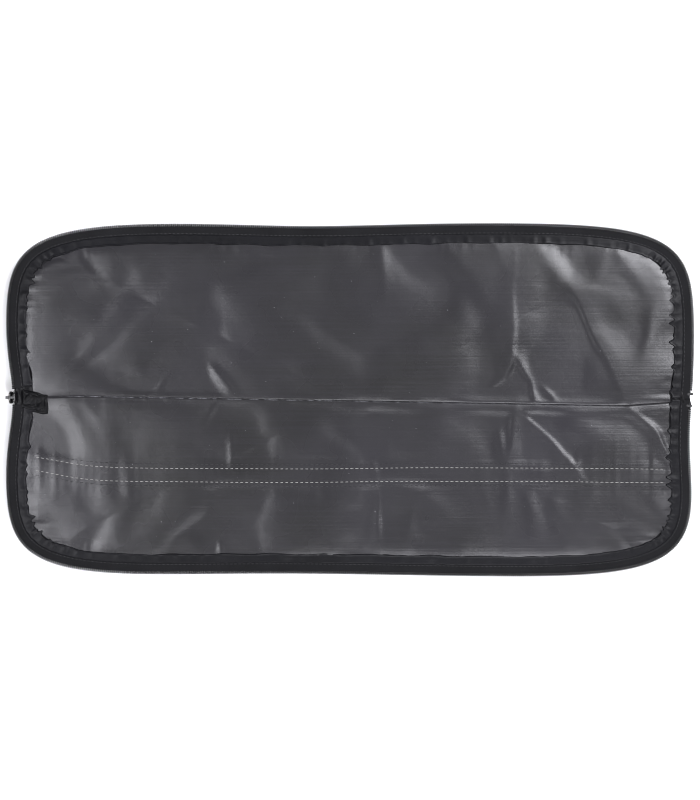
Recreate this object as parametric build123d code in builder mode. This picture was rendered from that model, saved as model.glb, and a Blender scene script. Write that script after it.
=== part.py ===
"""Film changing bag, lying with its zipped mouth undone and spread flat on top of the folded body.

Frame: origin on the ground under the middle of the mouth, +X along the mouth's length, +Y towards the
rear lip, +Z up. Everything is in millimetres. The crease between the two lips lies on y = 0 and is the
slit into the body.
"""

import os
from math import cos, exp, hypot, pi, sin

from build123d import *

# ---- driving dimensions --------------------------------------------------------------------------
MOUTH_LENGTH = 552.0  # over the tips of the zip teeth, spread flat
MOUTH_DEPTH = 284.0
CORNER_POWER = 6.4  # how square the mouth's outline is: 2 is an ellipse
CLOTH = 0.3  # one layer of proofed nylon

# how far the soft outline is pulled in: depth, where it is deepest, and how far it spreads
WAIST_LEFT = (5.6, 0.0, 35.0)
WAIST_RIGHT = (3.6, -32.0, 45.0)
DIP_REAR = (2.4, -30.0, 80.0)
DIP_FRONT = (2.8, -60.0, 140.0)

# size 5 coil zip
COIL_WIDTH = 4.0
COIL_HEIGHT = 2.1
TOOTH_TIP = 1.7  # teeth stand this far past the tape's edge
TAPE_WIDTH = 14.3
TAPE_THICKNESS = 0.5
SEAM_INSET = 9.0  # from the tooth tips to the row that sews the tape to the lip
LIP_INSET = SEAM_INSET - 1.0  # the lip's cloth reaches a little past that row
BINDING_WIDTH = 11.0
THREAD_WIDTH = 0.5
THREAD_HEIGHT = 0.2

# the lips
SLIT_HALF = 3.0  # each lip stops this far from the crease
SLIDER_ROOM = 8.5  # the zip's tapes stop this far from the crease where the slider sits
TAB_ROOM = 13.6  # the front tape stops this far from it, at the folded tab
STOP_ROOM = 5.9  # and this far from it at the other end, where the end stops are
END_STOP_GAP = 0.4

# webbing band sewn across the front lip
BAND_Y = -60.0
BAND_WIDTH = 25.0
BAND_THICKNESS = 0.6
BAND_ROW_OUTER = 8.8  # rows of stitches, from the band's middle
BAND_ROW_INNER = 5.2

# sleeves, folded under the body
SLEEVE_X = 135.0
SLEEVE_ROOT_Y = 118.0  # the fold where a sleeve turns under
SLEEVE_END_Y = -108.0
SLEEVE_ROOT_WIDTH = 130.0
SLEEVE_END_WIDTH = 96.0
SLEEVE_WALL = 0.4
ARM_GAP = 4.3  # free height inside a sleeve and inside the body as they lie flat
ARM_HOLE_LENGTH = 104.0
ARM_HOLE_DEPTH = 50.0
ARM_HOLE_Y = 84.0
CUFF_LENGTH = 22.0
CUFF_WALL = 1.0
ELASTIC_THICKNESS = 0.34
CUFF_GROOVE = 0.4

# folded body
BODY_LENGTH = 520.0
BODY_DEPTH = 266.0
BODY_CORNER = 58.0
SIDE_SEAM = 3.0

# zip slider and its ring
SLIDER_LENGTH = 11.4
SLIDER_WIDTH = 9.6
SLIDER_TAIL_WIDTH = 7.2
SLIDER_THICKNESS = 4.8
SLIDER_PLATE = 1.0
CROWN_HEIGHT = 3.6
CROWN_LENGTH = 6.8
CROWN_WIDTH = 2.2
CROWN_BAR = 1.1
RING_RADIUS = 4.3
RING_WIRE = 0.7

AIR = 0.3  # between pieces that move past each other

# ---- heights, from the ground up -----------------------------------------------------------------
CUFF_HEIGHT = ARM_GAP + 2 * CUFF_WALL
SLEEVE_MID_Z = CUFF_HEIGHT / 2
SLEEVE_HEIGHT = ARM_GAP + 2 * SLEEVE_WALL
SLEEVE_BOTTOM = SLEEVE_MID_Z - SLEEVE_HEIGHT / 2
SLEEVE_TOP = SLEEVE_MID_Z + SLEEVE_HEIGHT / 2
COLLAR_BOTTOM = SLEEVE_TOP + AIR
BODY_BOTTOM = CUFF_HEIGHT + AIR
CHAMBER_BOTTOM = BODY_BOTTOM + 2 * CLOTH
CHAMBER_TOP = CHAMBER_BOTTOM + ARM_GAP
BODY_TOP = CHAMBER_TOP + 2 * CLOTH
BAND_BOTTOM = BODY_TOP + AIR
SHELL_BOTTOM = BAND_BOTTOM + BAND_THICKNESS
LINING_BOTTOM = SHELL_BOTTOM + CLOTH
LINING_TOP = LINING_BOTTOM + CLOTH
TAPE_BOTTOM = LINING_TOP + CLOTH
TAPE_TOP = TAPE_BOTTOM + TAPE_THICKNESS
COIL_BOTTOM = TAPE_BOTTOM - COIL_HEIGHT
TAB_TOP = LINING_TOP + 2.4
FOLD_Z = TAB_TOP - 0.4  # height of the line that the rear lip folds over
SLIDER_MID_Z = 13.2
SLIDER_MID_X = -269.4
SLIDER_MID_Y = 2.0

SAMPLES = 3200  # steps used to trace half of the outline
EDGE_POINTS = 44  # points that a lip's edge spline runs through


# ---- outline of the mouth ------------------------------------------------------------------------
def pull(shape, along):
    """How far a soft edge is pulled in at a place along it."""
    depth, centre, spread = shape
    return depth * exp(-(((along - centre) / spread) ** 2))


def mouth_point(angle, side):
    """A point of the mouth's outline: angle is 0 on the right and pi on the left, side is 1 for the rear."""
    half_x, half_y = MOUTH_LENGTH / 2, MOUTH_DEPTH / 2
    c, s = cos(angle), sin(angle)
    reach = (abs(c / half_x) ** CORNER_POWER + abs(s / half_y) ** CORNER_POWER) ** (-1 / CORNER_POWER)
    x, y = reach * c, side * reach * s
    waist = WAIST_RIGHT if x > 0 else WAIST_LEFT
    dip = DIP_REAR if side > 0 else DIP_FRONT
    return (
        x * (1 - pull(waist, y) / half_x),
        y * (1 - pull(dip, x) / half_y),
    )


def lip_edge(side, inset, left_gap, right_gap):
    """Points along one lip's edge from left to right, moved inwards by inset, evenly spaced."""
    trace = [mouth_point(pi - pi * k / SAMPLES, side) for k in range(SAMPLES + 1)]
    moved = []
    for before, here, after in zip(trace, trace[1:], trace[2:]):
        run_x, run_y = after[0] - before[0], after[1] - before[1]
        step = side * inset / hypot(run_x, run_y)
        moved.append((here[0] + run_y * step, here[1] - run_x * step))
    kept = [p for p in moved if side * p[1] >= (left_gap if p[0] < 0 else right_gap)]
    along = [0.0]
    for a, b in zip(kept, kept[1:]):
        along.append(along[-1] + hypot(b[0] - a[0], b[1] - a[1]))
    points = []
    for k in range(EDGE_POINTS):
        target = along[-1] * k / (EDGE_POINTS - 1)
        j = min(max(i for i, d in enumerate(along) if d <= target + 1e-9), len(kept) - 2)
        share = (target - along[j]) / (along[j + 1] - along[j])
        points.append(tuple(a + (b - a) * share for a, b in zip(kept[j], kept[j + 1])))
    return points


def rim_strip(label, side, inset, width, bottom, height, left_gap=SLIDER_ROOM, right_gap=STOP_ROOM):
    """A strip that follows one lip's edge, such as a zip tape."""
    with BuildPart() as strip:
        with BuildSketch(Plane.XY.offset(bottom)):
            with BuildLine():
                outer = Spline(*lip_edge(side, inset, left_gap, right_gap))
                inner = Spline(*lip_edge(side, inset + width, left_gap, right_gap))
                Line(outer @ 0, inner @ 0)
                Line(outer @ 1, inner @ 1)
            make_face()
        extrude(amount=height)
    strip.part.label = label
    return strip


def lip_panel(label, side, inset, bottom):
    """One lip's sheet of cloth, from the zip's seam to the crease."""
    with BuildPart() as panel:
        with BuildSketch(Plane.XY.offset(bottom)):
            with BuildLine():
                edge = Spline(*lip_edge(side, inset, SLIT_HALF, SLIT_HALF))
                Line(edge @ 0, edge @ 1)
            make_face()
        extrude(amount=CLOTH)
    panel.part.label = label
    return panel


def end_stop(label, side):
    """The crimped stop on the last tooth of one lip, at the right-hand end of the zip."""
    x, y = lip_edge(side, COIL_WIDTH / 2, SLIDER_ROOM, STOP_ROOM)[-1]
    length, width, wall, corner = 2.0, COIL_WIDTH + 0.6, 0.25, 0.4
    with BuildPart() as stop:
        with BuildSketch(Plane.XY.offset(COIL_BOTTOM - wall)):
            with Locations((x, y - side * (length / 2 + END_STOP_GAP))):
                RectangleRounded(width, length, corner)
        extrude(amount=COIL_HEIGHT + TAPE_THICKNESS + 2 * wall)
    stop.part.label = label
    return stop


# ---- folded body ---------------------------------------------------------------------------------
def body_outline(shrink=0.0):
    """The folded body's outline, in the current sketch."""
    RectangleRounded(BODY_LENGTH - 2 * shrink, BODY_DEPTH - 2 * shrink, BODY_CORNER - shrink)


def body_bottom_sheet(label, bottom):
    """A lower sheet of the folded body, with the two arm holes."""
    with BuildPart() as sheet:
        with BuildSketch(Plane.XY.offset(bottom)):
            body_outline()
            with Locations((-SLEEVE_X, ARM_HOLE_Y), (SLEEVE_X, ARM_HOLE_Y)):
                SlotOverall(ARM_HOLE_LENGTH, ARM_HOLE_DEPTH, mode=Mode.SUBTRACT)
        extrude(amount=CLOTH)
    sheet.part.label = label
    return sheet


def body_top_sheet(label, bottom):
    """An upper layer of the folded body: a rear and a front sheet with the mouth's slit between them."""
    with BuildPart() as sheet:
        with BuildSketch(Plane.XY.offset(bottom)):
            body_outline()
            Rectangle(BODY_LENGTH, 2 * SLIT_HALF, mode=Mode.SUBTRACT)
        extrude(amount=CLOTH)
    sheet.part.label = label
    return sheet


body_outer_bottom = body_bottom_sheet("body_outer_bottom", BODY_BOTTOM)
body_inner_bottom = body_bottom_sheet("body_inner_bottom", BODY_BOTTOM + CLOTH)
body_inner_top = body_top_sheet("body_inner_top", CHAMBER_TOP)
body_outer_top = body_top_sheet("body_outer_top", CHAMBER_TOP + CLOTH)

with BuildPart() as body_side_seam:
    with BuildSketch(Plane.XY.offset(CHAMBER_BOTTOM)):
        body_outline()
        with BuildSketch(mode=Mode.SUBTRACT):
            body_outline(SIDE_SEAM)
    extrude(amount=ARM_GAP)
body_side_seam.part.label = "body_side_seam"

# throat: the strips of cloth that join each lip to the slit of the body
THROAT_WIDTH = 5.0
THROAT_LENGTH = 470.0
with BuildPart() as front_throat:
    with BuildSketch(Plane.XY.offset(BODY_TOP)):
        with Locations((0, -SLIT_HALF - THROAT_WIDTH / 2)):
            Rectangle(THROAT_LENGTH, THROAT_WIDTH)
    extrude(amount=SHELL_BOTTOM - BODY_TOP)
front_throat.part.label = "front_throat"

with BuildPart() as rear_throat:
    with BuildSketch(Plane.XY.offset(BODY_TOP)):
        with Locations((0, SLIT_HALF + THROAT_WIDTH / 2)):
            Rectangle(THROAT_LENGTH, THROAT_WIDTH)
    extrude(amount=SHELL_BOTTOM - BODY_TOP - AIR)
rear_throat.part.label = "rear_throat"


# ---- lips and zip --------------------------------------------------------------------------------
lip_parts = []
for lip, lip_side, tape_room in (("rear", 1, SLIDER_ROOM), ("front", -1, TAB_ROOM)):
    lip_parts += [
        lip_panel(f"{lip}_shell", lip_side, LIP_INSET, SHELL_BOTTOM),
        lip_panel(f"{lip}_lining", lip_side, LIP_INSET, LINING_BOTTOM),
        rim_strip(f"{lip}_binding", lip_side, LIP_INSET, BINDING_WIDTH, LINING_TOP, CLOTH, tape_room),
        rim_strip(f"{lip}_zip_tape", lip_side, TOOTH_TIP, TAPE_WIDTH, TAPE_BOTTOM, TAPE_THICKNESS, tape_room),
        rim_strip(f"{lip}_zip_coil", lip_side, 0.0, COIL_WIDTH, COIL_BOTTOM, COIL_HEIGHT),
        rim_strip(f"{lip}_tape_thread", lip_side, SEAM_INSET, THREAD_WIDTH, TAPE_TOP, THREAD_HEIGHT, tape_room),
        end_stop(f"{lip}_end_stop", lip_side),
    ]

# ---- webbing band across the front lip -----------------------------------------------------------
BAND_LENGTH = 522.0
BAND_THREAD_LENGTH = 506.0

with BuildPart() as webbing_band:
    with BuildSketch(Plane.XY.offset(BAND_BOTTOM)):
        with Locations((0, BAND_Y)):
            Rectangle(BAND_LENGTH, BAND_WIDTH)
    extrude(amount=BAND_THICKNESS)
webbing_band.part.label = "webbing_band"


def band_rows(label, offset):
    """The two rows of one thread colour that sew the webbing band to the front lip."""
    with BuildPart() as rows:
        with BuildSketch(Plane.XY.offset(LINING_TOP)):
            with Locations((0, BAND_Y - offset), (0, BAND_Y + offset)):
                Rectangle(BAND_THREAD_LENGTH, THREAD_WIDTH)
        extrude(amount=THREAD_HEIGHT)
    rows.part.label = label
    return rows


band_thread_black = band_rows("band_thread_black", BAND_ROW_OUTER)
band_thread_white = band_rows("band_thread_white", BAND_ROW_INNER)

# ---- folded tab that covers the inner end of the zip ---------------------------------------------
TAB_LEFT, TAB_RIGHT = -261.5, -242.0
TAB_FRONT, TAB_REAR = -12.2, 2.4
TAB_CORNER, TAB_EDGE = 1.5, 0.6
with BuildPart() as end_tab:
    with BuildSketch(Plane.XY.offset(LINING_TOP)):
        with Locations(((TAB_LEFT + TAB_RIGHT) / 2, (TAB_FRONT + TAB_REAR) / 2)):
            RectangleRounded(TAB_RIGHT - TAB_LEFT, TAB_REAR - TAB_FRONT, TAB_CORNER)
    extrude(amount=TAB_TOP - LINING_TOP)
    fillet(end_tab.faces().sort_by(Axis.Z)[-1].edges(), TAB_EDGE)
end_tab.part.label = "end_tab"

# ---- closed end of the zip, under the slider -----------------------------------------------------
CHAIN_TOP = SLIDER_MID_Z - SLIDER_LENGTH / 2 - 0.1
CHAIN_BOTTOM = 1.2
CHAIN_WIDTH = 5.6
CHAIN_TAPE_WIDTH = 15.0
CHAIN_CORNER = 0.9

with BuildPart() as chain_end:
    with BuildSketch(Plane.XY.offset(CHAIN_BOTTOM)):
        with Locations((SLIDER_MID_X, SLIDER_MID_Y)):
            RectangleRounded(COIL_HEIGHT, CHAIN_WIDTH, CHAIN_CORNER)
    extrude(amount=CHAIN_TOP - CHAIN_BOTTOM)
chain_end.part.label = "chain_end"

with BuildPart() as chain_end_tape:
    with BuildSketch(Plane.XY.offset(CHAIN_BOTTOM)):
        with Locations((SLIDER_MID_X, SLIDER_MID_Y)):
            Rectangle(TAPE_THICKNESS, CHAIN_TAPE_WIDTH)
            Rectangle(TAPE_THICKNESS, CHAIN_WIDTH, mode=Mode.SUBTRACT)
    extrude(amount=CHAIN_TOP - CHAIN_BOTTOM)
chain_end_tape.part.label = "chain_end_tape"

STOP_BOTTOM, STOP_HEIGHT = 1.6, 2.2
STOP_WALL, STOP_CORNER = 0.5, 0.5
with BuildPart() as bottom_stop:
    with BuildSketch(Plane.XY.offset(STOP_BOTTOM)):
        with Locations((SLIDER_MID_X, SLIDER_MID_Y)):
            RectangleRounded(COIL_HEIGHT + 2 * STOP_WALL, CHAIN_WIDTH + 1.6, STOP_CORNER)
            RectangleRounded(COIL_HEIGHT, CHAIN_WIDTH, CHAIN_CORNER, mode=Mode.SUBTRACT)
            Rectangle(TAPE_THICKNESS, CHAIN_TAPE_WIDTH, mode=Mode.SUBTRACT)
    extrude(amount=STOP_HEIGHT)
bottom_stop.part.label = "bottom_stop"

# ---- slider, standing on end with its mouth up ---------------------------------------------------
OUTER_FACE_X = SLIDER_MID_X - SLIDER_THICKNESS / 2
INNER_FACE_X = SLIDER_MID_X + SLIDER_THICKNESS / 2
FLANGE = 0.8
half_length = SLIDER_LENGTH / 2
half_mouth = SLIDER_WIDTH / 2
half_tail = SLIDER_TAIL_WIDTH / 2
SHOULDER_Z = 1.4  # above the slider's middle, where the sides start to close in on the tail
MOUTH_CORNER = 1.6
SIDE_WALL = 0.7
corner_z = half_length - MOUTH_CORNER

WEDGE_TIP_Z, WEDGE_WIDE_Z = 0.6, 3.2
WEDGE_HALF, WEDGE_NECK = 1.7, 1.1

plate_outline = [
    (-half_tail, -half_length),
    (half_tail, -half_length),
    (half_mouth, SHOULDER_Z),
    (half_mouth, corner_z),
    (half_mouth - MOUTH_CORNER, half_length),
    (MOUTH_CORNER - half_mouth, half_length),
    (-half_mouth, corner_z),
    (-half_mouth, SHOULDER_Z),
]


def slider_plane(x):
    """A plane across the bag's length at x, with its own x along +Y and its origin at the slider's middle."""
    return Plane(origin=(x, SLIDER_MID_Y, SLIDER_MID_Z), x_dir=(0, 1, 0), z_dir=(1, 0, 0))


with BuildPart() as slider_body:
    for face_x, inwards in ((OUTER_FACE_X, 1), (INNER_FACE_X, -1)):
        with BuildSketch(slider_plane(face_x)):
            Polygon(*plate_outline, align=None)
        extrude(amount=inwards * SLIDER_PLATE)
        with BuildSketch(slider_plane(face_x)):
            for mirror_y in (-1, 1):
                with BuildLine():
                    Polyline(
                        (mirror_y * half_tail, -half_length),
                        (mirror_y * half_mouth, SHOULDER_Z),
                        (mirror_y * half_mouth, corner_z),
                        (mirror_y * (half_mouth - SIDE_WALL), corner_z),
                        (mirror_y * (half_mouth - SIDE_WALL), SHOULDER_Z),
                        (mirror_y * (half_tail - SIDE_WALL), -half_length),
                        close=True,
                    )
                make_face()
        extrude(amount=inwards * (SLIDER_PLATE + FLANGE))
    # the wedge that parts the teeth
    with BuildSketch(slider_plane(OUTER_FACE_X + SLIDER_PLATE / 2)):
        with BuildLine():
            Polyline(
                (0, WEDGE_TIP_Z),
                (WEDGE_HALF, WEDGE_WIDE_Z),
                (WEDGE_NECK, half_length),
                (-WEDGE_NECK, half_length),
                (-WEDGE_HALF, WEDGE_WIDE_Z),
                close=True,
            )
        make_face()
    extrude(amount=SLIDER_THICKNESS - SLIDER_PLATE)
slider_body.part.label = "slider_body"

EYE_REACH = CROWN_HEIGHT - CROWN_BAR
CROWN_CORNER = 1.0
crown_side = (OUTER_FACE_X, SLIDER_MID_Y + CROWN_WIDTH / 2, SLIDER_MID_Z)
crown_plane = Plane(origin=crown_side, x_dir=(-1, 0, 0), z_dir=(0, 1, 0))
with BuildPart() as slider_crown:
    with BuildSketch(crown_plane):
        with Locations((CROWN_HEIGHT / 2, 0)):
            Rectangle(CROWN_HEIGHT, CROWN_LENGTH)
        with Locations((EYE_REACH / 2, 0)):
            Rectangle(EYE_REACH, CROWN_LENGTH - 2 * CROWN_BAR, mode=Mode.SUBTRACT)
    extrude(amount=-CROWN_WIDTH)
    outer_corners = slider_crown.edges().filter_by(Axis.Y).group_by(Axis.X)[0]
    fillet(outer_corners, CROWN_CORNER)
slider_crown.part.label = "slider_crown"

# ring through the crown, hanging against the slider's outer face
RING_PLAY = 0.25
RING_STANDOFF = 1.3
RING_TOP_Z = SLIDER_MID_Z - CROWN_LENGTH / 2 + CROWN_BAR + RING_WIRE + RING_PLAY
RING_X = OUTER_FACE_X - RING_STANDOFF
with BuildPart() as pull_ring:
    with Locations(Location((RING_X, SLIDER_MID_Y, RING_TOP_Z - RING_RADIUS), (0, 90, 0))):
        Torus(RING_RADIUS, RING_WIRE)
pull_ring.part.label = "pull_ring"


# ---- sleeves -------------------------------------------------------------------------------------
SLEEVE_FOLD = 1.0  # the sleeve's cloth reaches this far past the line it turns about
SIDE_FOLD = 1.6  # cloth gathered along each long side
SIDE_ROUND = 1.8
COLLAR_RIM = 5.0
HEM = 2.0  # closed end of the cuff's groove
HEM_GAP = 1.0


def sleeve_outline(wall, end_y):
    """The flat sleeve's plan, in the current sketch, inside a wall of the given width."""
    root_half = SLEEVE_ROOT_WIDTH / 2 - wall
    end_half = SLEEVE_END_WIDTH / 2 - wall
    root_y = SLEEVE_ROOT_Y + SLEEVE_FOLD - wall
    Polygon(
        (-root_half, root_y), (root_half, root_y), (end_half, end_y), (-end_half, end_y), align=None
    )


def flat_ring(width, height, wall):
    """A flattened tube's section, in the current sketch."""
    SlotOverall(width, height)
    SlotOverall(width - 2 * wall, height - 2 * wall, mode=Mode.SUBTRACT)


sleeve_parts = []
for arm, arm_x in (("left", -SLEEVE_X), ("right", SLEEVE_X)):
    with BuildPart() as sleeve:
        with BuildSketch(Plane.XY.offset(SLEEVE_BOTTOM)):
            with Locations((arm_x, 0)):
                sleeve_outline(0.0, SLEEVE_END_Y)
        extrude(amount=SLEEVE_HEIGHT)
        long_edges = sleeve.edges().filter_by(GeomType.LINE).filter_by(Axis.Z, reverse=True)
        fillet(long_edges.filter_by(lambda edge: abs(edge.tangent_at(0.5).Y) > 0.9), SIDE_ROUND)
        with BuildSketch(Plane.XY.offset(SLEEVE_BOTTOM + SLEEVE_WALL)):
            with Locations((arm_x, 0)):
                sleeve_outline(SIDE_FOLD, SLEEVE_END_Y - 1.0)
        extrude(amount=ARM_GAP, mode=Mode.SUBTRACT)
        with BuildSketch(Plane.XY.offset(SLEEVE_MID_Z)):
            with Locations((arm_x, ARM_HOLE_Y)):
                SlotOverall(ARM_HOLE_LENGTH, ARM_HOLE_DEPTH)
        extrude(amount=SLEEVE_HEIGHT, mode=Mode.SUBTRACT)
    sleeve.part.label = f"{arm}_sleeve"

    with BuildPart() as collar:
        with BuildSketch(Plane.XY.offset(COLLAR_BOTTOM)):
            with Locations((arm_x, ARM_HOLE_Y)):
                SlotOverall(ARM_HOLE_LENGTH + 2 * COLLAR_RIM, ARM_HOLE_DEPTH + 2 * COLLAR_RIM)
                SlotOverall(ARM_HOLE_LENGTH, ARM_HOLE_DEPTH, mode=Mode.SUBTRACT)
        extrude(amount=BODY_BOTTOM - COLLAR_BOTTOM)
    collar.part.label = f"{arm}_arm_collar"

    cuff_plane = Plane(origin=(arm_x, SLEEVE_END_Y, SLEEVE_MID_Z), x_dir=(1, 0, 0), z_dir=(0, -1, 0))
    skin = (CUFF_WALL - CUFF_GROOVE) / 2
    with BuildPart() as cuff:
        with BuildSketch(cuff_plane):
            flat_ring(SLEEVE_END_WIDTH, CUFF_HEIGHT, CUFF_WALL)
        extrude(amount=CUFF_LENGTH)
        with BuildSketch(cuff_plane):
            flat_ring(SLEEVE_END_WIDTH - 2 * skin, CUFF_HEIGHT - 2 * skin, CUFF_GROOVE)
        extrude(amount=CUFF_LENGTH - HEM, mode=Mode.SUBTRACT)
    cuff.part.label = f"{arm}_cuff"

    slack = (CUFF_GROOVE - ELASTIC_THICKNESS) / 2
    with BuildPart() as elastic:
        with BuildSketch(cuff_plane.offset(HEM_GAP)):
            flat_ring(
                SLEEVE_END_WIDTH - 2 * (skin + slack), CUFF_HEIGHT - 2 * (skin + slack), ELASTIC_THICKNESS
            )
        extrude(amount=CUFF_LENGTH - HEM - 2 * HEM_GAP)
    elastic.part.label = f"{arm}_cuff_elastic"
    sleeve_parts += [sleeve, collar, cuff, elastic]

# ---- write every piece ---------------------------------------------------------------------------
pieces = [
    body_outer_bottom,
    body_inner_bottom,
    body_inner_top,
    body_outer_top,
    body_side_seam,
    front_throat,
    rear_throat,
    *lip_parts,
    webbing_band,
    band_thread_black,
    band_thread_white,
    end_tab,
    chain_end,
    chain_end_tape,
    bottom_stop,
    slider_body,
    slider_crown,
    pull_ring,
    *sleeve_parts,
]
os.makedirs("parts", exist_ok=True)
for piece in pieces:
    export_step(piece.part, f"parts/{piece.part.label}.step")
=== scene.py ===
"""Looks of the film changing bag: its undone mouth spread flat, with the body and sleeves underneath."""

from math import cos, hypot, pi, radians, sin, sqrt

import bmesh
import bpy
import numpy as np
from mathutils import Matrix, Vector


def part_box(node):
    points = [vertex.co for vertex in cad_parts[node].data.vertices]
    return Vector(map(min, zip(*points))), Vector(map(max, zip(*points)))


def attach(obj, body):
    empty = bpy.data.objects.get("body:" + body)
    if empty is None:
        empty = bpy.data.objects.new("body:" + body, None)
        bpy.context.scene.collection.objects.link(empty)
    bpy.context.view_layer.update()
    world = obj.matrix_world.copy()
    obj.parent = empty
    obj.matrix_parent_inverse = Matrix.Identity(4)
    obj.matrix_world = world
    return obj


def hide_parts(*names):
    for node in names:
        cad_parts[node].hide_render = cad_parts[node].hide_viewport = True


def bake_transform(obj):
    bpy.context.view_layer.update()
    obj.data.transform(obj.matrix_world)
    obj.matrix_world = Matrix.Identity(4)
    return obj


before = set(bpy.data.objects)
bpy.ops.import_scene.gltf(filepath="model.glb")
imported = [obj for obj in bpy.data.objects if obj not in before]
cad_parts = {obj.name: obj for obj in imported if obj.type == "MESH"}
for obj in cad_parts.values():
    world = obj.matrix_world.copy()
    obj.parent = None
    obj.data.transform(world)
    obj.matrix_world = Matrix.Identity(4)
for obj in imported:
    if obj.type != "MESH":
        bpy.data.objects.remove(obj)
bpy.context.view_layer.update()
MM = 0.001

# ---- sizes of the frame, in millimetres ------------------------------------------------------
MOUTH_LENGTH = 552.0
MOUTH_DEPTH = 284.0
CORNER_POWER = 6.4
WAIST_LEFT = (5.6, 0.0, 35.0)
WAIST_RIGHT = (3.6, -32.0, 45.0)
DIP_REAR = (2.4, -30.0, 80.0)
DIP_FRONT = (2.8, -60.0, 140.0)
TRACE_STEPS = 4000


def node_mm(name):
    """Lowest and highest corners of a CAD node, in millimetres."""
    low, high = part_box(name)
    return np.array(low) / MM, np.array(high) / MM


LINING_TOP = node_mm("front_lining")[1][2]
SHELL_BOTTOM = node_mm("front_shell")[0][2]
TAPE_TOP = node_mm("front_zip_tape")[1][2]
COIL_BOTTOM, COIL_TOP = (corner[2] for corner in node_mm("front_zip_coil"))
BODY_BOTTOM = node_mm("body_outer_bottom")[0][2]
BODY_TOP = node_mm("body_outer_top")[1][2]
REAR, FRONT = 1, -1
LIPS = ((REAR, "rear", "rear_lip"), (FRONT, "front", "bag"))


# ---- helpers ---------------------------------------------------------------------------------
def bell(distance, spread):
    """1 at distance 0, falling smoothly to 0."""
    return np.exp(-((distance / spread) ** 2))


def ramp(value, low, high):
    """0 below low, 1 above high, smooth between."""
    t = np.clip((value - low) / (high - low), 0.0, 1.0)
    return t * t * (3.0 - 2.0 * t)


class Waves:
    """Smooth, seeded, band-limited noise over the plane: a sum of plane waves."""

    def __init__(self, seed, scale, count=14, stretch=1.0):
        rng = np.random.default_rng(seed)
        turn = rng.uniform(0, 2 * pi, count)
        length = scale * rng.uniform(0.6, 1.6, count)
        self.kx = 2 * pi * np.cos(turn) / length
        self.ky = 2 * pi * np.sin(turn) / (length * stretch)
        self.phase = rng.uniform(0, 2 * pi, count)
        self.gain = sqrt(2.0 / count)

    def __call__(self, x, y):
        total = np.zeros(np.broadcast(x, y).shape)
        for kx, ky, phase in zip(self.kx, self.ky, self.phase):
            total = total + np.sin(kx * x + ky * y + phase)
        return total * self.gain


def wave_1d(seed, scale, count=12):
    """Smooth seeded noise along a line."""
    rng = np.random.default_rng(seed)
    k = 2 * pi / (scale * rng.uniform(0.55, 1.8, count))
    phase = rng.uniform(0, 2 * pi, count)

    def noise(s):
        s = np.asarray(s, dtype=float)
        return sum(np.sin(a * s + b) for a, b in zip(k, phase)) * sqrt(2.0 / count)

    return noise


def make_object(name, verts_mm, faces, body, material):
    """A mesh piece in millimetres that rides on a body and has one material."""
    mesh = bpy.data.meshes.new(name)
    mesh.from_pydata((np.asarray(verts_mm) * MM).tolist(), [], [tuple(map(int, f)) for f in faces])
    mesh.validate()
    mesh.polygons.foreach_set("use_smooth", [True] * len(mesh.polygons))
    mesh.update()
    piece = bpy.data.objects.new(name, mesh)
    bpy.context.scene.collection.objects.link(piece)
    piece.data.materials.append(material)
    if body:
        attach(piece, body)
    return piece


def grid_faces(rows, columns, start=0, flip=False, wrap=False):
    """Quads of a grid of points stored row by row. wrap joins the last column to the first."""
    faces = []
    last = columns if wrap else columns - 1
    for r in range(rows - 1):
        for c in range(last):
            d = (c + 1) % columns
            quad = (
                start + r * columns + c,
                start + r * columns + d,
                start + (r + 1) * columns + d,
                start + (r + 1) * columns + c,
            )
            faces.append(quad[::-1] if flip else quad)
    return faces


def thick_grid(top, thickness):
    """A closed slab from a (rows, columns, 3) grid of points: the grid, its copy below, and the rim."""
    rows, columns = top.shape[:2]
    du = np.gradient(top, axis=0)
    dv = np.gradient(top, axis=1)
    normal = np.cross(dv, du)
    normal /= np.linalg.norm(normal, axis=2, keepdims=True) + 1e-12
    if normal[..., 2].mean() < 0:
        normal = -normal
    under = top - normal * thickness
    verts = np.concatenate([top.reshape(-1, 3), under.reshape(-1, 3)])
    n = rows * columns
    a, b, c = top[0, 0], top[0, -1], top[-1, 0]
    up = np.cross(b - a, c - a)[2] > 0
    faces = grid_faces(rows, columns, 0, flip=not up)
    faces += grid_faces(rows, columns, n, flip=up)
    border = [(0, j) for j in range(columns)] + [(i, columns - 1) for i in range(1, rows)]
    border += [(rows - 1, j) for j in range(columns - 2, -1, -1)] + [(i, 0) for i in range(rows - 2, 0, -1)]
    ring = [i * columns + j for i, j in border]
    for k, here in enumerate(ring):
        after = ring[(k + 1) % len(ring)]
        quad = (here, after, after + n, here + n)
        faces.append(quad[::-1] if up else quad)
    return verts, faces


def slab(x, y, z, thickness):
    """A closed slab from separate grids of x, y and z."""
    return thick_grid(np.stack([x, y, z], axis=2), thickness)


def ring_faces(levels, count, closed):
    """Quads between neighbouring rings of points. closed joins the last ring to the first."""
    faces = []
    for i in range(levels if closed else levels - 1):
        j = (i + 1) % levels
        for k in range(count):
            m = (k + 1) % count
            faces.append((i * count + k, i * count + m, j * count + m, j * count + k))
    return faces


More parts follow.
